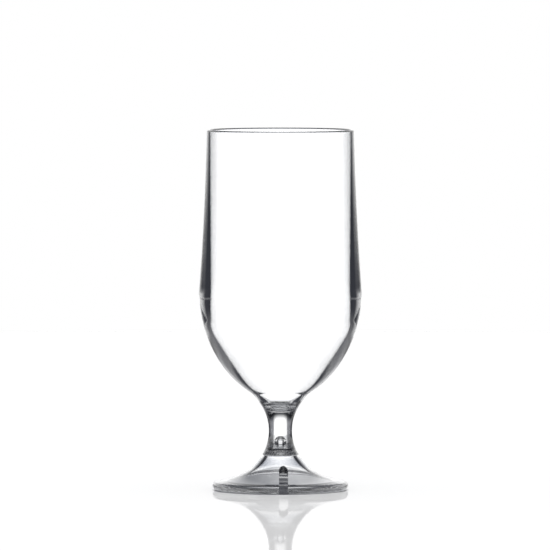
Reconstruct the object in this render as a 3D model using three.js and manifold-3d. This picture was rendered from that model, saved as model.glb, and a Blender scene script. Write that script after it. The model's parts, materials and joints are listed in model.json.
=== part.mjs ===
// Beer goblet of clear moulded plastic: a thick-walled bowl, a solid waisted stem and a hollow
// flared foot. Each joint is welded at a narrow ring-shaped land, and inside the ring the pieces
// keep a thin clear gap. Millimetres, +Z up. The origin is the middle of the ring that the foot
// stands on, and the drain slot of the foot faces -Y.

import * as THREE from 'three';
import { mergeVertices } from 'three/addons/utils/BufferGeometryUtils.js';
import Module from 'manifold-3d';

const wasm = await Module();
wasm.setup();

// Driving dimensions: overall stack
const footSeamHeight = 19.1;
const stemLength = 29;
const bowlHeight = 148.9;
const jointClearance = 0.3;

// Foot: outside
const footDiameter = 74.2;
const footEdgeThickness = 4.4;
const footSeamDiameter = 20.2;
const skirtTopAngle = 59;
const skirtTopPull = 12.5;
const discSlope = 11.5;
const discPull = 11.7;

// Foot: hollow under the skirt
const standingRingWidth = 6.5;
const mouthChamfer = 0.7;
const mouthAngle = 21;
const mouthPull = 7.6;
const hollowTopAngle = 55;
const hollowTopPull = 11;
const skirtTopWall = 2.75;
const ceilingFillet = 0.8;
const crownWall = 3.1;

// Foot: domed crown and the peg on it
const crownRadius = 16.8;
const crownLandWidth = 1.3;
const pegDiameter = 3.5;
const pegHeight = 7.4;
const pegTipHeight = 2.7;

// Foot: drain slot
const slotWidth = 4.9;
const slotStartRadius = 13.8;
const slotOffset = 1.7;

// Stem
const waistDiameter = 12.7;
const waistHeight = 13.1;
const waistLowerPull = 7.3;
const waistUpperPull = 8.6;
const stemFootPull = 1.6;
const stemHeadPull = 2.4;
const stemHeadAngle = 56;
const bowlSeamDiameter = 23.2;

// Bowl: outside
const shoulderDiameter = 89.2;
const rimInset = 4.4;
const shoulderHeight = 59;
const shoulderDrop = 3;
const shoulderStep = 0.4;
const wallBow = 0.75;
const bellyPull = 4.3;
const hipDiameter = 34.8;
const hipHeight = 6;
const hipAngle = 33.6;
const hipOuterPull = 29.5;
const hipInnerPull = 3.8;
const bowlNeckPull = 2;

// Bowl: inside
const rimWall = 1.6;
const rimOuterFillet = 0.9;
const rimInnerFillet = 0.7;
const draft = 0.3;
const straightEndHeight = 46;
const cavityPull = 15;
const hipWall = 5.1;
const wellMouthHeight = 6.5;
const wellMouthAngle = 34;
const wellMouthPull = 9;
const wellMouthEase = 1.8;
const wellFloorDiameter = 11.2;
const baseWall = 2.3;
const gateDimpleDiameter = 5.2;
const gateDimpleDepth = 1.1;

// Bowl: rounded boss that sits in the head of the stem
const bossRadius = 18;
const bossLandWidth = 0.5;

// Smoothness of the turned shapes
const turnSteps = 60;
const longSteps = 10;
const shortSteps = 4;
const roundSteps = 3;

// Pull that makes a bend follow a quarter of an ellipse
const ellipsePull = 0.5523;

// Helpers for profiles: x is the radius and y is the height
const at = (radius, height) => new THREE.Vector2(radius, height);

const aim = (from, degrees, length) => {
  const angle = THREE.MathUtils.degToRad(degrees);
  return at(from.x + length * Math.cos(angle), from.y + length * Math.sin(angle));
};

const bend = (start, startPull, endPull, end, steps) =>
  new THREE.CubicBezierCurve(start, startPull, endPull, end).getPoints(steps);

const arc = (centre, radius, fromDegrees, toDegrees, steps) => {
  const from = THREE.MathUtils.degToRad(fromDegrees);
  const to = THREE.MathUtils.degToRad(toDegrees);
  return new THREE.ArcCurve(centre.x, centre.y, radius, from, to, to < from).getPoints(steps);
};

// Height of a cap of a sphere whose rim circle has the given radius
const capHeight = (sphereRadius, rimRadius) =>
  sphereRadius - Math.sqrt(sphereRadius ** 2 - rimRadius ** 2);

// Angle from the sphere's axis out to the circle of the given radius, in degrees
const capAngle = (sphereRadius, rimRadius) =>
  THREE.MathUtils.radToDeg(Math.asin(rimRadius / sphereRadius));

// Radius of a sphere whose cap has the given rim radius and height
const sphereOfCap = (rimRadius, height) => (rimRadius ** 2 + height ** 2) / (2 * height);

// Rounded end of a pin, from its side at the given height up to its axis
const pinTip = (radius, base, height) =>
  bend(
    at(radius, base),
    at(radius, base + ellipsePull * height),
    at(ellipsePull * radius, base + height),
    at(0, base + height),
    roundSteps,
  );

// Radius of a sphere's circle at the given distance from its centre
const circleRadius = (sphereRadius, distance) => Math.sqrt(sphereRadius ** 2 - distance ** 2);

// A closed profile turned about the upright axis, as a solid
function turned(parts) {
  const points = parts.flat().filter((point, index, all) => {
    return index === 0 || point.distanceTo(all[index - 1]) > 1e-4;
  });
  const lathe = new THREE.LatheGeometry(points, turnSteps);
  lathe.rotateX(Math.PI / 2);
  return solidFrom(lathe);
}

function solidFrom(geometry) {
  const bare = geometry.clone();
  bare.deleteAttribute('normal');
  bare.deleteAttribute('uv');
  const merged = mergeVertices(bare);
  const corners = merged.index.array;
  const triangles = [];
  for (let i = 0; i < corners.length; i += 3) {
    const [a, b, c] = corners.slice(i, i + 3);
    if (a !== b && b !== c && c !== a) triangles.push(a, b, c);
  }
  return new wasm.Manifold(new wasm.Mesh({
    numProp: 3,
    vertProperties: new Float32Array(merged.attributes.position.array),
    triVerts: new Uint32Array(triangles),
  }));
}

function geometryFrom(solid) {
  const mesh = solid.getMesh();
  const geometry = new THREE.BufferGeometry();
  geometry.setAttribute('position', new THREE.BufferAttribute(mesh.vertProperties, 3));
  geometry.setIndex(new THREE.BufferAttribute(mesh.triVerts, 1));
  geometry.computeVertexNormals();
  return geometry;
}

function clearPlastic(color) {
  return new THREE.MeshStandardMaterial({
    color,
    roughness: 0.05,
    metalness: 0,
    transparent: true,
    opacity: 0.4,
  });
}

function piece(name, solid, color) {
  const mesh = new THREE.Mesh(geometryFrom(solid), clearPlastic(color));
  mesh.name = name;
  return mesh;
}

// Sizes that two pieces share
const footSeamRadius = footSeamDiameter / 2;
const bowlSeamRadius = bowlSeamDiameter / 2;
const pegRadius = pegDiameter / 2;
const crownLandRadius = footSeamRadius - crownLandWidth;
const crownCentre = capHeight(crownRadius, crownLandRadius) - crownRadius;
const bossLandRadius = bowlSeamRadius - bossLandWidth;
const bossCentre = bossRadius - capHeight(bossRadius, bossLandRadius);
const pegTipBase = crownCentre + crownRadius + pegHeight - pegTipHeight;

// Foot, with its height measured from the table
function footSolid() {
  const edgeRadius = footEdgeThickness / 2;
  const edgeCentre = at(footDiameter / 2 - edgeRadius, edgeRadius);
  const discEnd = aim(edgeCentre, 90 - discSlope, edgeRadius);
  const seam = at(footSeamRadius, footSeamHeight);
  const mouth = at(footDiameter / 2 - standingRingWidth, 0);
  const mouthTop = at(mouth.x - mouthChamfer, mouthChamfer);
  const crown = at(0, footSeamHeight + crownCentre);
  const ceilingHeight = crown.y + crownRadius - crownWall;
  const ceilingCorner = at(footSeamRadius - skirtTopWall, ceilingHeight - ceilingFillet);

  const body = turned([
    [at(0, ceilingHeight), at(ceilingCorner.x - ceilingFillet, ceilingHeight)],
    bend(
      ceilingCorner,
      aim(ceilingCorner, -hollowTopAngle, hollowTopPull),
      aim(mouthTop, 180 - mouthAngle, mouthPull),
      mouthTop,
      longSteps,
    ),
    [mouth],
    arc(edgeCentre, edgeRadius, -90, 90 - discSlope, 2 * roundSteps),
    bend(
      discEnd,
      aim(discEnd, 180 - discSlope, discPull),
      aim(seam, -skirtTopAngle, skirtTopPull),
      seam,
      longSteps,
    ),
    arc(
      crown,
      crownRadius,
      90 - capAngle(crownRadius, crownLandRadius),
      90 - capAngle(crownRadius, pegRadius),
      shortSteps,
    ),
    pinTip(pegRadius, footSeamHeight + pegTipBase, pegTipHeight),
  ]);
  return body.subtract(slotCutter());
}

// Upright cutter of the drain slot: round inner end, parallel sides, open past the edge
function slotCutter() {
  const half = slotWidth / 2;
  const reach = footDiameter;
  const outline = new THREE.Shape();
  outline.moveTo(-half, -reach);
  outline.lineTo(half, -reach);
  outline.absarc(0, -slotStartRadius - half, half, 0, Math.PI, false);
  outline.closePath();
  const cutter = new THREE.ExtrudeGeometry(outline, {
    depth: 2 * footSeamHeight,
    bevelEnabled: false,
    curveSegments: 4 * roundSteps,
  });
  cutter.translate(slotOffset, 0, -footSeamHeight);
  return solidFrom(cutter);
}

// Stem, with its height measured from the seam on the foot
function stemSolid() {
  const cupRadius = crownRadius + jointClearance;
  const socketRadius = pegRadius + jointClearance;
  const headCupRadius = bossRadius + jointClearance;
  const foot = at(footSeamRadius, 0);
  const waist = at(waistDiameter / 2, waistHeight);
  const head = at(bowlSeamRadius, stemLength);
  const headCup = at(0, stemLength + bossCentre);
  const headCupEdge = circleRadius(headCupRadius, bossCentre);

  return turned([
    pinTip(socketRadius, pegTipBase, pegTipHeight + jointClearance).reverse(),
    arc(
      at(0, crownCentre),
      cupRadius,
      90 - capAngle(cupRadius, socketRadius),
      90 - capAngle(cupRadius, circleRadius(cupRadius, crownCentre)),
      shortSteps,
    ),
    bend(
      foot,
      aim(foot, 180 - skirtTopAngle, stemFootPull),
      aim(waist, -90, waistLowerPull),
      waist,
      longSteps / 2,
    ),
    bend(
      waist,
      aim(waist, 90, waistUpperPull),
      aim(head, 180 + stemHeadAngle, stemHeadPull),
      head,
      longSteps / 2,
    ),
    arc(
      headCup,
      headCupRadius,
      -90 + capAngle(headCupRadius, headCupEdge),
      -90,
      shortSteps,
    ),
  ]);
}

// Bowl, with its height measured from the seam on the stem
function bowlSolid() {
  const seam = at(bowlSeamRadius, 0);
  const hip = at(hipDiameter / 2, hipHeight);
  const belly = at(shoulderDiameter / 2 - shoulderStep, shoulderHeight - shoulderDrop);
  const shoulder = at(shoulderDiameter / 2, shoulderHeight);
  const rimStart = at(shoulder.x - rimInset, bowlHeight - rimOuterFillet);
  const rimInner = at(rimStart.x - rimWall, bowlHeight - rimInnerFillet);
  const straightEnd = at(rimInner.x - draft, straightEndHeight);
  const wellMouth = at(hip.x - hipWall, wellMouthHeight);
  const wellFloor = at(wellFloorDiameter / 2, bossCentre - bossRadius + baseWall);
  const wellSide = wellMouthEase / wellMouth.distanceTo(wellFloor);
  const easeStart = aim(wellMouth, wellMouthAngle, wellMouthEase);
  const easeEnd = wellMouth.clone().lerp(wellFloor, wellSide);
  const dimpleRadius = gateDimpleDiameter / 2;
  const dimpleSphere = sphereOfCap(dimpleRadius, gateDimpleDepth);
  const dimpleCentre = at(0, wellFloor.y - gateDimpleDepth + dimpleSphere);

  // The long wall bows inward a little between the shoulder and the rim
  const wallPull = (share) => shoulder.clone().lerp(rimStart, share).sub(at(wallBow, 0));

  return turned([
    arc(
      at(0, bossCentre),
      bossRadius,
      -90,
      -90 + capAngle(bossRadius, bossLandRadius),
      shortSteps,
    ),
    bend(
      seam,
      aim(seam, stemHeadAngle, bowlNeckPull),
      aim(hip, 180 + hipAngle, hipInnerPull),
      hip,
      shortSteps,
    ),
    bend(
      hip,
      aim(hip, hipAngle, hipOuterPull),
      aim(belly, -90, bellyPull),
      belly,
      longSteps,
    ),
    bend(
      belly,
      aim(belly, 90, shoulderDrop / 2),
      aim(shoulder, -90, shoulderDrop / 2),
      shoulder,
      roundSteps,
    ),
    bend(shoulder, wallPull(1 / 3), wallPull(2 / 3), rimStart, shortSteps),
    arc(
      at(rimStart.x - rimOuterFillet, rimStart.y),
      rimOuterFillet,
      0,
      90,
      roundSteps,
    ),
    arc(
      at(rimInner.x + rimInnerFillet, rimInner.y),
      rimInnerFillet,
      90,
      180,
      roundSteps,
    ),
    bend(
      straightEnd,
      aim(straightEnd, -90, cavityPull),
      aim(wellMouth, wellMouthAngle, wellMouthPull),
      easeStart,
      longSteps,
    ),
    bend(easeStart, wellMouth, wellMouth, easeEnd, roundSteps),
    [wellFloor],
    arc(dimpleCentre, dimpleSphere, -90 + capAngle(dimpleSphere, dimpleRadius), -90, roundSteps),
  ]);
}

// Assembly: the stem stands on the seam of the foot, and the bowl on the seam of the stem
const goblet = new THREE.Group();
goblet.add(piece('foot', footSolid(), 0xe9eef4));

const stemGroup = new THREE.Group();
stemGroup.position.z = footSeamHeight;
stemGroup.add(piece('stem', stemSolid(), 0xdfe6ee));
goblet.add(stemGroup);

const bowlGroup = new THREE.Group();
bowlGroup.position.z = stemLength;
bowlGroup.add(piece('bowl', bowlSolid(), 0xf1f5fa));
stemGroup.add(bowlGroup);

export default goblet;
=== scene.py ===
import json
import math

import bmesh
import bpy
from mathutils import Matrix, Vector

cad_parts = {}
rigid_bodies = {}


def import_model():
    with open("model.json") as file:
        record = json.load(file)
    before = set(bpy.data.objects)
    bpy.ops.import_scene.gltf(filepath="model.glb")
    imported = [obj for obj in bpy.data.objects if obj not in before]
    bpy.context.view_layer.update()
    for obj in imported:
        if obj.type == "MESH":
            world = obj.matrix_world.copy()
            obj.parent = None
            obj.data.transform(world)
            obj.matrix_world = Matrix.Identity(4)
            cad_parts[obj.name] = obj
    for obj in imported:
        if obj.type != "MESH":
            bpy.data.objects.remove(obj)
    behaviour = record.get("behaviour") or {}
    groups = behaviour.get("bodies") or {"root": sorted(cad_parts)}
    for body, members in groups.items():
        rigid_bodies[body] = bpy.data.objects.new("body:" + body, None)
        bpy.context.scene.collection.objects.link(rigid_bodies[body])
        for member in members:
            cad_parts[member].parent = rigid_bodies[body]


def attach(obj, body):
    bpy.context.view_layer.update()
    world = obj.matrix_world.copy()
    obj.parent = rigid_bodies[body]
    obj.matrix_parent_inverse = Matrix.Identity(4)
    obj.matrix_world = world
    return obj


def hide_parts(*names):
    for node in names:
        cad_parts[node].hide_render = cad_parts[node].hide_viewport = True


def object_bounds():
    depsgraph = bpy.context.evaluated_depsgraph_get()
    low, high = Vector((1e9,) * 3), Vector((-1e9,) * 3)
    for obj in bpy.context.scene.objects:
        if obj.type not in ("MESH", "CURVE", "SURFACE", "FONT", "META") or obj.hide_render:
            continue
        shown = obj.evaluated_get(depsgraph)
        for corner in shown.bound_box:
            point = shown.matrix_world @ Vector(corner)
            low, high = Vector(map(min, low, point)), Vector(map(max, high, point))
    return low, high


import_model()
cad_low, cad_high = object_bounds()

MM = 0.001

# Stack of the pieces, in millimetres. The film is the space left between two lands, so that no
# face of one piece lies in a face of another.
FOOT_SEAM_HEIGHT = 19.1
STEM_LENGTH = 29
BOWL_HEIGHT = 148.9
JOINT_CLEARANCE = 0.3
LAND_FILM = 0.02

# Foot: outside
FOOT_RADIUS = 37.1
FOOT_EDGE_RADIUS = 2.2
FOOT_SEAM_RADIUS = 10.1
SKIRT_TOP_ANGLE = 59
SKIRT_TOP_PULL = 12.5
DISC_SLOPE = 11.5
DISC_PULL = 11.7

# Foot: hollow
STANDING_RING_WIDTH = 6.5
MOUTH_CHAMFER = 0.7
MOUTH_ANGLE = 21
MOUTH_PULL = 7.6
HOLLOW_TOP_ANGLE = 55
HOLLOW_TOP_PULL = 11
SKIRT_TOP_WALL = 2.75
CEILING_FILLET = 0.8
CROWN_WALL = 3.1

# Foot: crown, peg and drain slot
CROWN_RADIUS = 16.8
CROWN_LAND_WIDTH = 1.3
PEG_RADIUS = 1.75
PEG_HEIGHT = 7.4
PEG_TIP_HEIGHT = 2.7
SLOT_WIDTH = 4.9
SLOT_START = 13.8
SLOT_OFFSET = 1.7

# Stem
WAIST_RADIUS = 6.35
WAIST_HEIGHT = 13.1
WAIST_LOWER_PULL = 7.3
WAIST_UPPER_PULL = 8.6
STEM_FOOT_PULL = 1.6
STEM_HEAD_PULL = 2.4
STEM_HEAD_ANGLE = 56
BOWL_SEAM_RADIUS = 11.6

# Bowl: outside
SHOULDER_RADIUS = 44.6
RIM_INSET = 4.4
SHOULDER_HEIGHT = 59
SHOULDER_DROP = 3
SHOULDER_STEP = 0.4
WALL_BOW = 0.75
BELLY_PULL = 4.3
HIP_RADIUS = 17.4
HIP_HEIGHT = 6
HIP_ANGLE = 33.6
HIP_OUTER_PULL = 29.5
HIP_INNER_PULL = 3.8
BOWL_NECK_PULL = 2

# Bowl: inside and boss
RIM_WALL = 1.6
RIM_OUTER_FILLET = 0.9
RIM_INNER_FILLET = 0.7
DRAFT = 0.3
STRAIGHT_END_HEIGHT = 46
CAVITY_PULL = 15
HIP_WALL = 5.1
WELL_MOUTH_HEIGHT = 6.5
WELL_MOUTH_ANGLE = 34
WELL_MOUTH_PULL = 9
WELL_MOUTH_EASE = 1.8
WELL_FLOOR_RADIUS = 5.6
BASE_WALL = 2.3
GATE_DIMPLE_RADIUS = 2.6
GATE_DIMPLE_DEPTH = 1.1
BOSS_RADIUS = 18
BOSS_LAND_WIDTH = 0.5

# Fine turned meshes
TURN_STEPS = 256
LONG_STEPS = 72
ARC_STEPS = 64
SLOT_ROUND_STEPS = 48
CEILING_STEPS = 6
MOUTH_EDGE_STEPS = 4
SHARP_ANGLE = math.radians(24)
SAME_POINT = 1e-4
ON_AXIS = 1e-6

# Pull that makes a bend follow a quarter of an ellipse
ELLIPSE_PULL = 0.5523

# Material slots of a turned piece: its own plastic, the lands, and the edges with painted shade
PLASTIC = 0
WELD = 1
DIM = 2

# Clear plastic in air, and the welded lands of the joints, which light crosses unbent
PLASTIC_IOR = 1.58
WELD_IOR = 1.0

# Flow waviness, fine handling marks and the tint of a shadow. Scales are in waves for each metre.
FLOW_SCALE = 38.0
FLOW_DETAIL = 1.0
FLOW_TINT = ((0.985, 0.99, 1.0), (1.0, 1.0, 1.0))
WAVE_STRENGTH = 0.02
WAVE_HEIGHT = 0.001
MARK_SCALE = 420.0
MARK_DETAIL = 3.0
MARK_SPAN = (0.45, 0.75)
MARK_ROUGHNESS = 0.012
SHADOW_TINT = (0.93, 0.94, 0.95)

# Painted shade: tints that darken the plastic's colour where its surface is seen aslant, as facing
# (0 square on, 1 edge on) and tint. Ends are heights over the table, in millimetres, between which
# a tint holds, and the fade is its soft border.
PAINTED_EDGE_SHADE_FADE = 2.0
STEM_PAINTED_EDGE_SHADE_ENDS = (FOOT_SEAM_HEIGHT + 2.0, FOOT_SEAM_HEIGHT + 24.5)
# Painted shade: the stem's colour turns near black where it is seen aslant.
STEM_PAINTED_EDGE_SHADE = [
    (0.09, (1.0, 1.0, 1.0)),
    (0.20, (0.03, 0.031, 0.037)),
]
SKIRT_PAINTED_EDGE_SHADE_ENDS = (11.5, 18.6)
# Painted shade: the skirt's colour turns grey where it is seen aslant.
SKIRT_PAINTED_EDGE_SHADE = [
    (0.0, (1.0, 1.0, 1.0)),
    (0.4, (0.55, 0.565, 0.6)),
]

# Painted shade: near black on the drain slot's end with the mouth's edge, and on the rim's rounded
# edges
MOUTH_PAINTED_SHADE = [
    (0.0, (0.02, 0.021, 0.025)),
    (1.0, (0.06, 0.062, 0.072)),
]
RIM_PAINTED_SHADE = [
    (0.0, (0.35, 0.355, 0.37)),
    (0.3, (0.12, 0.124, 0.135)),
    (1.0, (0.04, 0.042, 0.05)),
]

# Studio seen by glass. Light that passes straight through sees the backdrop all round, bright
# enough to stay white after both walls. Light turned back by a wall sees a soft panel every
# quarter turn, as degrees aside from its middle and light.
BACKDROP = (1.5, 1.5, 1.5)
PANEL_DEGREES = 90
DARK_BELOW = (0.035, 0.037, 0.045)
PANEL = [
    (-30, DARK_BELOW),
    (-10, (1.1, 1.1, 1.1)),
    (10, (1.1, 1.1, 1.1)),
    (30, DARK_BELOW),
]
PALE_BELOW = (1.2, 1.2, 1.2)
ONE_WALL_BELOW = (0.9, 0.9, 0.92)
DARK_ABOVE = (0.04, 0.042, 0.05)
OVERHEAD = (0.8, 0.8, 0.8)

# Degrees over the horizon between which the studio changes: from the panels to the dark below,
# from the backdrop to the pale below, the same again after one wall, to the dark above and from
# there to the overhead light
PANEL_DROP = (-4, -14)
BACKDROP_DROP = (-9, -24)
ONE_WALL_DROP = (-24, -34)
ABOVE_RISE = (10, 34)
OVERHEAD_RISE = (50, 75)

# Light thrown off the outside of the glass, or off the table, sees the backdrop too where it
# rises or falls this much
TABLE_MIRROR_RISE = (2.2, 3.4)
STEEP_MIRROR_DROP = (-8, -22)

# Counts in a light path: turned back once, turned back often, and let through a second wall
TURNED = 0.5
TURNED_OFTEN = (1.2, 2.2)
OFTEN_SHARE = 0.9
SECOND_WALL = 3.5

# Table: its size and its gap under the foot in metres, its finish, a painted shadow under the foot
# with the radii in millimetres between which it fades in, and its share of mirror by facing
TABLE_RADIUS = 1.6
TABLE_STEPS = 96
TABLE_GAP = 0.0002
TABLE_COLOR = (0.95, 0.95, 0.955)
FOOT_PAINTED_SHADOW = (0.10, 0.10, 0.11)
FOOT_PAINTED_SHADOW_FADE = (FOOT_RADIUS + 0.5, FOOT_RADIUS - 1)
TABLE_ROUGHNESS = 0.5
MIRROR_ROUGHNESS = 0.03
MIRROR_FACING = (0.3, 0.93)
MIRROR_SHARE = (0.03, 0.35)

# Painted light and shade: greys that the table gives off where the glass sees it near the foot,
# darker left and lighter right of the axis, by facing (0 straight down, 1 at a grazing angle). The
# fades are in metres: side along X, front along Y, and the others outward from the axis.
LOW_ANGLE = (0.62, 0.66)
NEAR_FADE = (0.19, 0.13)
UNDER_FADE = (0.05, 0.042)
UNDER_TURNED_FADE = (0.13, 0.085)
SIDE_FADE = (-0.018, 0.018)
FRONT_FADE = (0.0, -0.004)
HOLLOW_FADE = 0.0015
TABLE_STEEP = (0.05, 0.052, 0.062)
TABLE_LEFT = [
    (0.62, TABLE_STEEP),
    (0.66, (0.7, 0.71, 0.73)),
]
TABLE_RIGHT = [
    (0.62, TABLE_STEEP),
    (0.66, (1.0, 1.0, 1.0)),
]

# Painted light and shade that the table gives off under the foot, as glass sees it: in the hollow,
# from its front (0) to its back (1), and under the ring
HOLLOW_DEPTH = [
    (0.105, (0.27, 0.27, 0.29)),
    (0.135, (0.8, 0.8, 0.8)),
]
HOLLOW_LEFT = (0.42, 0.43, 0.455)
HOLLOW_RIGHT = (0.80, 0.81, 0.83)
RING_REAR = (0.90, 0.91, 0.93)
RING_LEFT = (0.42, 0.43, 0.45)
RING_RIGHT = (0.66, 0.67, 0.69)

# Camera of the photograph, in pixels of its 550 pixel frame, with its sensor in millimetres and
# its far limit in metres
FRAME_PX = 550
AXIS_PX = 280.4
BASE_PX = 490.0
RIM_PX = 129.5
DISTANCE_PX = 7700.0
EYE_PX = 577.0
SENSOR = 36.0
FAR_LIMIT = 50

# Light paths through many faces of glass
LIGHT_BOUNCES = 32
GLOSSY_BOUNCES = 16


# Profiles, as radius and height
def at(radius, height):
    return Vector((radius, height))


def aim(start, degrees, length):
    angle = math.radians(degrees)
    return start + Vector((math.cos(angle), math.sin(angle))) * length


def bend(start, start_pull, end_pull, end, steps=LONG_STEPS):
    points = []
    for i in range(steps + 1):
        t = i / steps
        u = 1 - t
        points.append(start * u ** 3 + start_pull * 3 * u * u * t
                      + end_pull * 3 * u * t * t + end * t ** 3)
    return points


def arc(centre, radius, start, end, steps=ARC_STEPS):
    return [aim(centre, start + (end - start) * i / steps, radius) for i in range(steps + 1)]


def cap_height(sphere, rim):
    return sphere - math.sqrt(sphere ** 2 - rim ** 2)


def cap_angle(sphere, rim):
    return math.degrees(math.asin(rim / sphere))


def circle_radius(sphere, distance):
    return math.sqrt(sphere ** 2 - distance ** 2)


def sphere_of_cap(rim, height):
    return (rim ** 2 + height ** 2) / (2 * height)


def pin_tip(radius, base, height):
    return bend(at(radius, base), at(radius, base + ELLIPSE_PULL * height),
                at(ELLIPSE_PULL * radius, base + height), at(0, base + height), ARC_STEPS // 2)


CROWN_LAND_RADIUS = FOOT_SEAM_RADIUS - CROWN_LAND_WIDTH
CROWN_CENTRE = cap_height(CROWN_RADIUS, CROWN_LAND_RADIUS) - CROWN_RADIUS
BOSS_LAND_RADIUS = BOWL_SEAM_RADIUS - BOSS_LAND_WIDTH
BOSS_CENTRE = BOSS_RADIUS - cap_height(BOSS_RADIUS, BOSS_LAND_RADIUS)
PEG_TIP_BASE = CROWN_CENTRE + CROWN_RADIUS + PEG_HEIGHT - PEG_TIP_HEIGHT


def foot_profile():
    edge_centre = at(FOOT_RADIUS - FOOT_EDGE_RADIUS, FOOT_EDGE_RADIUS)
    disc_end = aim(edge_centre, 90 - DISC_SLOPE, FOOT_EDGE_RADIUS)
    seam = at(FOOT_SEAM_RADIUS, FOOT_SEAM_HEIGHT)
    mouth = at(FOOT_RADIUS - STANDING_RING_WIDTH, 0)
    mouth_top = at(mouth.x - MOUTH_CHAMFER, MOUTH_CHAMFER)
    crown = at(0, FOOT_SEAM_HEIGHT + CROWN_CENTRE)
    ceiling = crown.y + CROWN_RADIUS - CROWN_WALL
    corner = at(FOOT_SEAM_RADIUS - SKIRT_TOP_WALL, ceiling - CEILING_FILLET)
    hollow = bend(corner, aim(corner, -HOLLOW_TOP_ANGLE, HOLLOW_TOP_PULL),
                  aim(mouth_top, 180 - MOUTH_ANGLE, MOUTH_PULL), mouth_top)
    return [
        (PLASTIC, [at(0, ceiling)]),
        (PLASTIC, arc(corner - at(CEILING_FILLET, 0), CEILING_FILLET, 90, 0, CEILING_STEPS)),
        (PLASTIC, hollow[:-MOUTH_EDGE_STEPS]),
        # The mouth's edge takes the slot with painted shade.
        (DIM, hollow[-MOUTH_EDGE_STEPS:] + [mouth]),
        (PLASTIC, arc(edge_centre, FOOT_EDGE_RADIUS, -90, 90 - DISC_SLOPE)),
        (PLASTIC, bend(disc_end, aim(disc_end, 180 - DISC_SLOPE, DISC_PULL),
                       aim(seam, -SKIRT_TOP_ANGLE, SKIRT_TOP_PULL), seam)),
        (WELD, [at(CROWN_LAND_RADIUS, FOOT_SEAM_HEIGHT)]),
        (PLASTIC, arc(crown, CROWN_RADIUS, 90 - cap_angle(CROWN_RADIUS, CROWN_LAND_RADIUS),
                      90 - cap_angle(CROWN_RADIUS, PEG_RADIUS))),
        (PLASTIC, pin_tip(PEG_RADIUS, FOOT_SEAM_HEIGHT + PEG_TIP_BASE, PEG_TIP_HEIGHT)),
    ]


def stem_profile():
    cup = CROWN_RADIUS + JOINT_CLEARANCE
    socket = PEG_RADIUS + JOINT_CLEARANCE
    head_cup = BOSS_RADIUS + JOINT_CLEARANCE
    foot = at(FOOT_SEAM_RADIUS, LAND_FILM)
    waist = at(WAIST_RADIUS, WAIST_HEIGHT)
    head = at(BOWL_SEAM_RADIUS, STEM_LENGTH - LAND_FILM)
    head_edge = circle_radius(head_cup, BOSS_CENTRE + LAND_FILM)
    return [
        (PLASTIC, pin_tip(socket, PEG_TIP_BASE, PEG_TIP_HEIGHT + JOINT_CLEARANCE)[::-1]),
        (PLASTIC, arc(at(0, CROWN_CENTRE), cup, 90 - cap_angle(cup, socket),
                      90 - cap_angle(cup, circle_radius(cup, CROWN_CENTRE - LAND_FILM)))),
        (WELD, [foot]),
        (PLASTIC, bend(foot, aim(foot, 180 - SKIRT_TOP_ANGLE, STEM_FOOT_PULL),
                       aim(waist, -90, WAIST_LOWER_PULL), waist, LONG_STEPS // 2)),
        (PLASTIC, bend(waist, aim(waist, 90, WAIST_UPPER_PULL),
                       aim(head, 180 + STEM_HEAD_ANGLE, STEM_HEAD_PULL), head, LONG_STEPS // 2)),
        (WELD, [at(head_edge, STEM_LENGTH - LAND_FILM)]),
        (PLASTIC, arc(at(0, STEM_LENGTH + BOSS_CENTRE), head_cup,
                      -90 + cap_angle(head_cup, head_edge), -90)),
    ]


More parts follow.
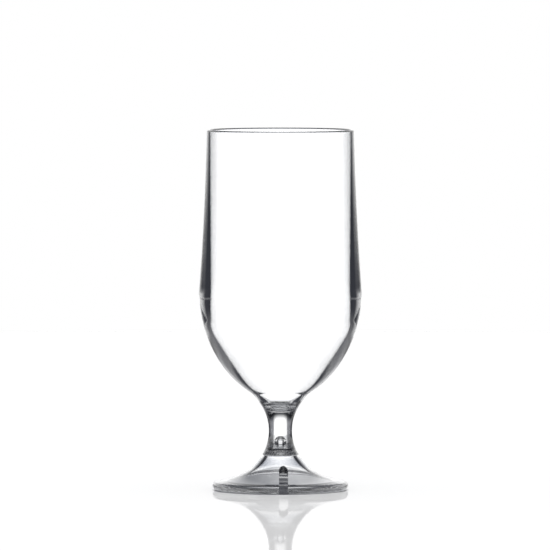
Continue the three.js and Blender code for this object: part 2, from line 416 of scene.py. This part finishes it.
def bowl_profile():
    seam = at(BOWL_SEAM_RADIUS, 0)
    hip = at(HIP_RADIUS, HIP_HEIGHT)
    belly = at(SHOULDER_RADIUS - SHOULDER_STEP, SHOULDER_HEIGHT - SHOULDER_DROP)
    shoulder = at(SHOULDER_RADIUS, SHOULDER_HEIGHT)
    rim_start = at(SHOULDER_RADIUS - RIM_INSET, BOWL_HEIGHT - RIM_OUTER_FILLET)
    rim_inner = at(rim_start.x - RIM_WALL, BOWL_HEIGHT - RIM_INNER_FILLET)
    straight_end = at(rim_inner.x - DRAFT, STRAIGHT_END_HEIGHT)
    well_mouth = at(HIP_RADIUS - HIP_WALL, WELL_MOUTH_HEIGHT)
    well_floor = at(WELL_FLOOR_RADIUS, BOSS_CENTRE - BOSS_RADIUS + BASE_WALL)
    ease_start = aim(well_mouth, WELL_MOUTH_ANGLE, WELL_MOUTH_EASE)
    ease_end = well_mouth.lerp(well_floor, WELL_MOUTH_EASE / (well_floor - well_mouth).length)
    dimple = sphere_of_cap(GATE_DIMPLE_RADIUS, GATE_DIMPLE_DEPTH)
    dimple_centre = at(0, well_floor.y - GATE_DIMPLE_DEPTH + dimple)

    def wall_pull(share):
        return shoulder.lerp(rim_start, share) - at(WALL_BOW, 0)

    return [
        (PLASTIC, arc(at(0, BOSS_CENTRE), BOSS_RADIUS, -90,
                      -90 + cap_angle(BOSS_RADIUS, BOSS_LAND_RADIUS))),
        (WELD, [seam]),
        (PLASTIC, bend(seam, aim(seam, STEM_HEAD_ANGLE, BOWL_NECK_PULL),
                       aim(hip, 180 + HIP_ANGLE, HIP_INNER_PULL), hip, LONG_STEPS // 4)),
        (PLASTIC, bend(hip, aim(hip, HIP_ANGLE, HIP_OUTER_PULL),
                       aim(belly, -90, BELLY_PULL), belly)),
        (PLASTIC, bend(belly, aim(belly, 90, SHOULDER_DROP / 2),
                       aim(shoulder, -90, SHOULDER_DROP / 2), shoulder, LONG_STEPS // 4)),
        (PLASTIC, bend(shoulder, wall_pull(1 / 3), wall_pull(2 / 3), rim_start,
                       LONG_STEPS // 2)),
        # The rim's rounded edges take the slot with painted shade.
        (DIM, arc(at(rim_start.x - RIM_OUTER_FILLET, rim_start.y), RIM_OUTER_FILLET, 0, 90)),
        (DIM, arc(at(rim_inner.x + RIM_INNER_FILLET, rim_inner.y), RIM_INNER_FILLET,
                  90, 180)),
        (PLASTIC, bend(straight_end, aim(straight_end, -90, CAVITY_PULL),
                       aim(well_mouth, WELL_MOUTH_ANGLE, WELL_MOUTH_PULL), ease_start)),
        (PLASTIC, bend(ease_start, well_mouth, well_mouth, ease_end, LONG_STEPS // 4)),
        (PLASTIC, [well_floor]),
        (PLASTIC, arc(dimple_centre, dimple, -90 + cap_angle(dimple, GATE_DIMPLE_RADIUS), -90)),
    ]


# Meshes
def turned(name, parts, lift):
    """A solid turned about the upright axis; each face takes the slot of the part it leads to."""
    outline = []
    for slot, points in parts:
        for point in points:
            if outline and (outline[-1][0] - point).length < SAME_POINT:
                continue
            outline.append((point, slot))
    shape = bmesh.new()
    rings = []
    for point, slot in outline:
        radius, height = point.x * MM, (point.y + lift) * MM
        if point.x < ON_AXIS:
            rings.append([shape.verts.new((0, 0, height))])
            continue
        rings.append([
            shape.verts.new((radius * math.cos(turn), radius * math.sin(turn), height))
            for turn in (math.tau * k / TURN_STEPS for k in range(TURN_STEPS))
        ])
    for (low, high), (_, slot) in zip(zip(rings, rings[1:]), outline[1:]):
        for k in range(TURN_STEPS):
            j = (k + 1) % TURN_STEPS
            if len(low) == 1:
                corners = (low[0], high[k], high[j])
            elif len(high) == 1:
                corners = (low[k], high[0], low[j])
            else:
                corners = (low[k], high[k], high[j], low[j])
            face = shape.faces.new(corners)
            face.material_index = slot
    bmesh.ops.recalc_face_normals(shape, faces=shape.faces)
    return finished(name, shape)


def finished(name, shape):
    mesh = bpy.data.meshes.new(name)
    shape.to_mesh(mesh)
    shape.free()
    piece = bpy.data.objects.new(name, mesh)
    bpy.context.scene.collection.objects.link(piece)
    return piece


def smooth(piece):
    """Smooth shading, with creases where the surface turns sharply or its slot changes."""
    shape = bmesh.new()
    shape.from_mesh(piece.data)
    for face in shape.faces:
        face.smooth = True
    for edge in shape.edges:
        faces = edge.link_faces
        sharp = len(faces) == 2 and (faces[0].material_index != faces[1].material_index
                                     or edge.calc_face_angle(0) > SHARP_ANGLE)
        edge.smooth = not sharp
    shape.to_mesh(piece.data)
    shape.free()


def cut_slot(piece):
    """The upright drain slot: round inner end, parallel sides, open past the edge."""
    half = SLOT_WIDTH / 2
    open_end = [(-half, -2 * FOOT_RADIUS), (half, -2 * FOOT_RADIUS)]
    round_end = [(half * math.cos(turn), -SLOT_START - half + half * math.sin(turn))
                 for turn in (math.pi * i / SLOT_ROUND_STEPS
                              for i in range(SLOT_ROUND_STEPS + 1))]
    outline = open_end + round_end
    shape = bmesh.new()
    ends = []
    for height in (-FOOT_SEAM_HEIGHT, FOOT_SEAM_HEIGHT):
        ends.append([shape.verts.new(((x + SLOT_OFFSET) * MM, y * MM, height * MM))
                     for x, y in outline])
    shape.faces.new(ends[0])
    shape.faces.new(reversed(ends[1]))
    for i in range(len(outline)):
        j = (i + 1) % len(outline)
        side = shape.faces.new((ends[0][i], ends[1][i], ends[1][j], ends[0][j]))
        # The slot's round end takes the slot with painted shade.
        side.material_index = DIM if len(open_end) <= i < len(outline) - 1 else PLASTIC
    bmesh.ops.recalc_face_normals(shape, faces=shape.faces)
    cutter = finished("slot_cutter", shape)
    cut = piece.modifiers.new("slot", "BOOLEAN")
    cut.object = cutter
    cut.operation = "DIFFERENCE"
    cut.solver = "EXACT"
    bpy.context.view_layer.objects.active = piece
    bpy.ops.object.modifier_apply(modifier=cut.name)
    bpy.data.objects.remove(cutter)


# Materials
class Nodes:
    """Short hand for adding and linking shader nodes."""

    def __init__(self, tree):
        self.tree = tree
        tree.nodes.clear()

    def add(self, kind, **settings):
        node = self.tree.nodes.new(kind)
        for key, value in settings.items():
            setattr(node, key, value)
        return node

    def feed(self, socket, value):
        if isinstance(value, bpy.types.NodeSocket):
            self.tree.links.new(value, socket)
        else:
            socket.default_value = value

    def math(self, operation, *values, clamp=False):
        node = self.add("ShaderNodeMath", operation=operation, use_clamp=clamp)
        for socket, value in zip(node.inputs, values):
            self.feed(socket, value)
        return node.outputs[0]

    def span(self, value, low, high, to_low=0.0, to_high=1.0, kind="SMOOTHSTEP"):
        node = self.add("ShaderNodeMapRange", interpolation_type=kind)
        for socket, number in zip(node.inputs, (value, low, high, to_low, to_high)):
            self.feed(socket, number)
        return node.outputs[0]

    def mix(self, factor, first, second, blend="MIX"):
        node = self.add("ShaderNodeMix", data_type="RGBA", blend_type=blend)
        for name, value in (("Factor_Float", factor), ("A_Color", first), ("B_Color", second)):
            socket = next(s for s in node.inputs if s.identifier == name)
            self.feed(socket, value if isinstance(value, (float, bpy.types.NodeSocket))
                      else (*value, 1.0))
        return next(s for s in node.outputs if s.identifier == "Result_Color")

    def ramp(self, value, stops):
        node = self.add("ShaderNodeValToRGB")
        line = node.color_ramp
        while len(line.elements) < len(stops):
            line.elements.new(1.0)
        for element, (place, color) in zip(line.elements, stops):
            element.position = place
            element.color = (*color, 1.0)
        self.feed(node.inputs["Fac"], value)
        return node.outputs["Color"]


def clear_material(name, ior, edge_shade_stops=None, ends=None):
    """Clear plastic with a trace of flow waviness and fine handling marks. Edge stops paint shade
    into the colour where the surface is seen aslant, and the ends keep that between two heights
    over the table."""
    material = bpy.data.materials.new(name)
    material.use_nodes = True
    nodes = Nodes(material.node_tree)
    place = nodes.add("ShaderNodeTexCoord").outputs["Object"]

    flow = nodes.add("ShaderNodeTexNoise")
    nodes.feed(flow.inputs["Vector"], place)
    nodes.feed(flow.inputs["Scale"], FLOW_SCALE)
    nodes.feed(flow.inputs["Detail"], FLOW_DETAIL)

    marks = nodes.add("ShaderNodeTexNoise")
    nodes.feed(marks.inputs["Vector"], place)
    nodes.feed(marks.inputs["Scale"], MARK_SCALE)
    nodes.feed(marks.inputs["Detail"], MARK_DETAIL)

    bump = nodes.add("ShaderNodeBump")
    nodes.feed(bump.inputs["Strength"], WAVE_STRENGTH)
    nodes.feed(bump.inputs["Distance"], WAVE_HEIGHT)
    nodes.feed(bump.inputs["Height"], flow.outputs["Fac"])

    plastic = nodes.add("ShaderNodeBsdfPrincipled")
    nodes.feed(plastic.inputs["Transmission Weight"], 1.0)
    nodes.feed(plastic.inputs["IOR"], ior)
    tint = nodes.mix(flow.outputs["Fac"], *FLOW_TINT)
    # Painted shade: the colour is darkened by facing, so the surface turns dark where it is seen
    # aslant.
    if edge_shade_stops:
        facing = nodes.add("ShaderNodeLayerWeight").outputs["Facing"]
        share = 1.0
        if ends:
            upright = nodes.add("ShaderNodeSeparateXYZ")
            nodes.feed(upright.inputs[0], place)
            low_end, high_end, fade = [height * MM for height in (*ends, PAINTED_EDGE_SHADE_FADE)]
            share = nodes.math("MULTIPLY",
                               nodes.span(upright.outputs["Z"], low_end, low_end + fade),
                               nodes.span(upright.outputs["Z"], high_end, high_end - fade))
        tint = nodes.mix(share, tint,
                         nodes.mix(1.0, tint, nodes.ramp(facing, edge_shade_stops), "MULTIPLY"))
    nodes.feed(plastic.inputs["Base Color"], tint)
    nodes.feed(plastic.inputs["Roughness"],
               nodes.span(marks.outputs["Fac"], *MARK_SPAN, 0.0, MARK_ROUGHNESS))
    nodes.feed(plastic.inputs["Normal"], bump.outputs["Normal"])

    path = nodes.add("ShaderNodeLightPath")
    clear = nodes.add("ShaderNodeBsdfTransparent")
    nodes.feed(clear.inputs["Color"], (*SHADOW_TINT, 1.0))
    mixed = nodes.add("ShaderNodeMixShader")
    nodes.feed(mixed.inputs["Fac"], path.outputs["Is Shadow Ray"])
    nodes.feed(mixed.inputs[1], plastic.outputs["BSDF"])
    nodes.feed(mixed.inputs[2], clear.outputs["BSDF"])
    output = nodes.add("ShaderNodeOutputMaterial")
    nodes.feed(output.inputs["Surface"], mixed.outputs["Shader"])
    return material


def floor_material():
    """A pale glossy table. Near and under the foot, glass sees it give off greys of painted light
    and shade, and the camera sees a painted shadow under the foot.
    """
    material = bpy.data.materials.new("pale_table")
    material.use_nodes = True
    nodes = Nodes(material.node_tree)
    facing = nodes.add("ShaderNodeLayerWeight").outputs["Facing"]
    path = nodes.add("ShaderNodeLightPath")
    place = nodes.add("ShaderNodeTexCoord").outputs["Object"]
    point = nodes.add("ShaderNodeSeparateXYZ")
    nodes.feed(point.inputs[0], place)
    length = nodes.add("ShaderNodeVectorMath", operation="LENGTH")
    nodes.feed(length.inputs[0], place)
    away = length.outputs["Value"]

    # Painted shadow: the table's colour turns dark under the foot, fading out at its edge.
    painted_under_foot = nodes.span(away, *[radius * MM for radius in FOOT_PAINTED_SHADOW_FADE])
    table = nodes.add("ShaderNodeBsdfPrincipled")
    nodes.feed(table.inputs["Base Color"], nodes.mix(painted_under_foot, TABLE_COLOR, FOOT_PAINTED_SHADOW))
    nodes.feed(table.inputs["Roughness"], TABLE_ROUGHNESS)
    nodes.feed(table.inputs["Specular IOR Level"], 0.0)
    gloss = nodes.add("ShaderNodeBsdfGlossy")
    nodes.feed(gloss.inputs["Roughness"], MIRROR_ROUGHNESS)
    polished = nodes.add("ShaderNodeMixShader")
    nodes.feed(polished.inputs["Fac"], nodes.span(facing, *MIRROR_FACING, *MIRROR_SHARE))
    nodes.feed(polished.inputs[1], table.outputs["BSDF"])
    nodes.feed(polished.inputs[2], gloss.outputs["BSDF"])

    low_angle = nodes.span(facing, *LOW_ANGLE)
    near = nodes.math("MULTIPLY", low_angle, nodes.span(away, *NEAR_FADE))
    turned_back = nodes.math("GREATER_THAN", path.outputs["Glossy Depth"], TURNED)
    under = nodes.math("MULTIPLY", nodes.math("SUBTRACT", 1.0, low_angle),
                       nodes.math("MAXIMUM", nodes.span(away, *UNDER_FADE),
                                  nodes.math("MULTIPLY", turned_back,
                                             nodes.span(away, *UNDER_TURNED_FADE))))

    side = nodes.span(point.outputs["X"], *SIDE_FADE)
    open_table = nodes.mix(side, nodes.ramp(facing, TABLE_LEFT), nodes.ramp(facing, TABLE_RIGHT))
    ring_start = (FOOT_RADIUS - STANDING_RING_WIDTH) * MM
    inside = nodes.span(away, ring_start, ring_start - HOLLOW_FADE)
    depth = nodes.span(point.outputs["Y"], -ring_start, ring_start, kind="LINEAR")
    hollow = nodes.mix(1.0, nodes.ramp(depth, HOLLOW_DEPTH),
                       nodes.mix(side, HOLLOW_LEFT, HOLLOW_RIGHT), "MULTIPLY")
    front = nodes.span(point.outputs["Y"], *FRONT_FADE)
    two_walls = nodes.math("GREATER_THAN", path.outputs["Transmission Depth"], SECOND_WALL)
    ring = nodes.math("MULTIPLY", nodes.math("SUBTRACT", painted_under_foot, inside),
                      nodes.math("MAXIMUM", front, two_walls))
    under_ring = nodes.mix(front, RING_REAR, nodes.mix(side, RING_LEFT, RING_RIGHT))
    # Painted light and shade: the table gives off these greys for light that reaches it through
    # glass.
    glow = nodes.add("ShaderNodeEmission")
    nodes.feed(glow.inputs["Color"],
               nodes.mix(ring, nodes.mix(inside, open_table, hollow), under_ring))
    clear = nodes.add("ShaderNodeBsdfTransparent")
    through = nodes.add("ShaderNodeMixShader")
    nodes.feed(through.inputs["Fac"], nodes.math("ADD", near, under))
    nodes.feed(through.inputs[1], clear.outputs["BSDF"])
    nodes.feed(through.inputs[2], glow.outputs["Emission"])

    past = nodes.math("MAXIMUM", path.outputs["Is Glossy Ray"],
                      path.outputs["Is Transmission Ray"])
    mixed = nodes.add("ShaderNodeMixShader")
    nodes.feed(mixed.inputs["Fac"], past)
    nodes.feed(mixed.inputs[1], polished.outputs["Shader"])
    nodes.feed(mixed.inputs[2], through.outputs["Shader"])
    output = nodes.add("ShaderNodeOutputMaterial")
    nodes.feed(output.inputs["Surface"], mixed.outputs["Shader"])
    return material


def studio():
    """White to the camera and to the floor; glass and gloss see the panels and the dark room."""
    world = bpy.data.worlds.new("studio")
    world.use_nodes = True
    nodes = Nodes(world.node_tree)
    way = nodes.add("ShaderNodeSeparateXYZ")
    nodes.feed(way.inputs[0], nodes.add("ShaderNodeTexCoord").outputs["Generated"])
    across, along, up = way.outputs
    spacing = math.radians(PANEL_DEGREES)
    turn = nodes.math("ADD", nodes.math("ARCTAN2", across, along), spacing / 2)
    aside = nodes.math("DIVIDE", nodes.math("FLOORED_MODULO", turn, spacing), spacing)
    rise = nodes.math("ARCSINE", up)
    path = nodes.add("ShaderNodeLightPath")

    def between(start, end):
        return nodes.span(rise, math.radians(start), math.radians(end))

    off_outside = nodes.math("LESS_THAN", path.outputs["Transmission Depth"], TURNED)
    off_backdrop = nodes.math("MAXIMUM", between(*TABLE_MIRROR_RISE), between(*STEEP_MIRROR_DROP))
    turned_back = nodes.math("SUBTRACT",
                             nodes.math("GREATER_THAN", path.outputs["Glossy Depth"], TURNED),
                             nodes.math("MULTIPLY", off_outside, off_backdrop), clamp=True)
    often = nodes.span(path.outputs["Glossy Depth"], *TURNED_OFTEN, 0.0, OFTEN_SHARE)
    one_wall = nodes.math("LESS_THAN", path.outputs["Transmission Depth"], SECOND_WALL)

    low_wall = nodes.mix(between(*ONE_WALL_DROP), ONE_WALL_BELOW, PALE_BELOW)
    direct = nodes.mix(between(*BACKDROP_DROP), BACKDROP,
                       nodes.mix(one_wall, PALE_BELOW, low_wall))
    panel = nodes.ramp(aside, [(0.5 + degrees / PANEL_DEGREES, light) for degrees, light in PANEL])
    panels = nodes.mix(often, panel, DARK_BELOW)
    turned_light = nodes.mix(between(*PANEL_DROP), panels, DARK_BELOW)
    lower = nodes.mix(turned_back, direct, turned_light)
    above = nodes.mix(between(*OVERHEAD_RISE), DARK_ABOVE, OVERHEAD)
    seen = nodes.mix(between(*ABOVE_RISE), lower, above)

    glass = nodes.math("MAXIMUM", path.outputs["Is Glossy Ray"],
                       path.outputs["Is Transmission Ray"])
    background = nodes.add("ShaderNodeBackground")
    nodes.feed(background.inputs["Color"], nodes.mix(glass, (1.0, 1.0, 1.0), seen))
    nodes.feed(background.inputs["Strength"], 1.0)
    output = nodes.add("ShaderNodeOutputWorld")
    nodes.feed(output.inputs["Surface"], background.outputs["Background"])
    bpy.context.scene.world = world


# Goblet
for leftover in [o for o in bpy.context.scene.objects if o.name in ("Cube", "Light", "Camera")]:
    bpy.data.objects.remove(leftover)

# The stem's and skirt's plastics carry painted shade where they are seen aslant.
own_plastic = {
    "bowl": clear_material("clear_plastic", PLASTIC_IOR),
    "stem": clear_material("clear_plastic_solid_painted_edge_shade", PLASTIC_IOR, STEM_PAINTED_EDGE_SHADE, STEM_PAINTED_EDGE_SHADE_ENDS),
    "foot": clear_material("clear_plastic_skirt_painted_shade", PLASTIC_IOR, SKIRT_PAINTED_EDGE_SHADE, SKIRT_PAINTED_EDGE_SHADE_ENDS),
}
# Plastics with painted shade for the mouth's edge and the rim.
painted_dark_plastic = {
    "foot": clear_material("clear_plastic_painted_dark_mouth", PLASTIC_IOR, MOUTH_PAINTED_SHADE),
    "bowl": clear_material("clear_plastic_painted_dark_rim", PLASTIC_IOR, RIM_PAINTED_SHADE),
}
weld = clear_material("clear_weld", WELD_IOR)
pieces = {
    "foot": turned("turned_foot", foot_profile(), 0),
    "stem": turned("turned_stem", stem_profile(), FOOT_SEAM_HEIGHT),
    "bowl": turned("turned_bowl", bowl_profile(), FOOT_SEAM_HEIGHT + STEM_LENGTH),
}
cut_slot(pieces["foot"])
for node, piece in pieces.items():
    piece.data.materials.append(own_plastic[node])
    piece.data.materials.append(weld)
    if node in painted_dark_plastic:
        piece.data.materials.append(painted_dark_plastic[node])
    smooth(piece)
    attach(piece, "root")
    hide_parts(node)

# Floor, light and camera
floor_shape = bmesh.new()
bmesh.ops.create_circle(floor_shape, cap_ends=True, radius=TABLE_RADIUS, segments=TABLE_STEPS)
floor = finished("pale_floor", floor_shape)
floor.location.z = -TABLE_GAP
floor.data.materials.append(floor_material())
studio()

pixel = (cad_high[2] - cad_low[2]) / (BASE_PX - RIM_PX)
camera_data = bpy.data.cameras.new("camera")
camera = bpy.data.objects.new("camera", camera_data)
bpy.context.scene.collection.objects.link(camera)
target = Vector(((FRAME_PX / 2 - AXIS_PX) * pixel, 0, (BASE_PX - FRAME_PX / 2) * pixel))
camera.location = (0, -DISTANCE_PX * pixel, EYE_PX * pixel)
sight = target - camera.location
camera.rotation_euler = sight.to_track_quat("-Z", "Y").to_euler()
camera_data.sensor_width = SENSOR
camera_data.lens = SENSOR * sight.length / (FRAME_PX * pixel)
camera_data.clip_end = FAR_LIMIT

scene = bpy.context.scene
scene.camera = camera
scene.view_settings.view_transform = "Standard"
scene.cycles.max_bounces = LIGHT_BOUNCES
scene.cycles.transmission_bounces = LIGHT_BOUNCES
scene.cycles.glossy_bounces = GLOSSY_BOUNCES
scene.cycles.transparent_max_bounces = LIGHT_BOUNCES
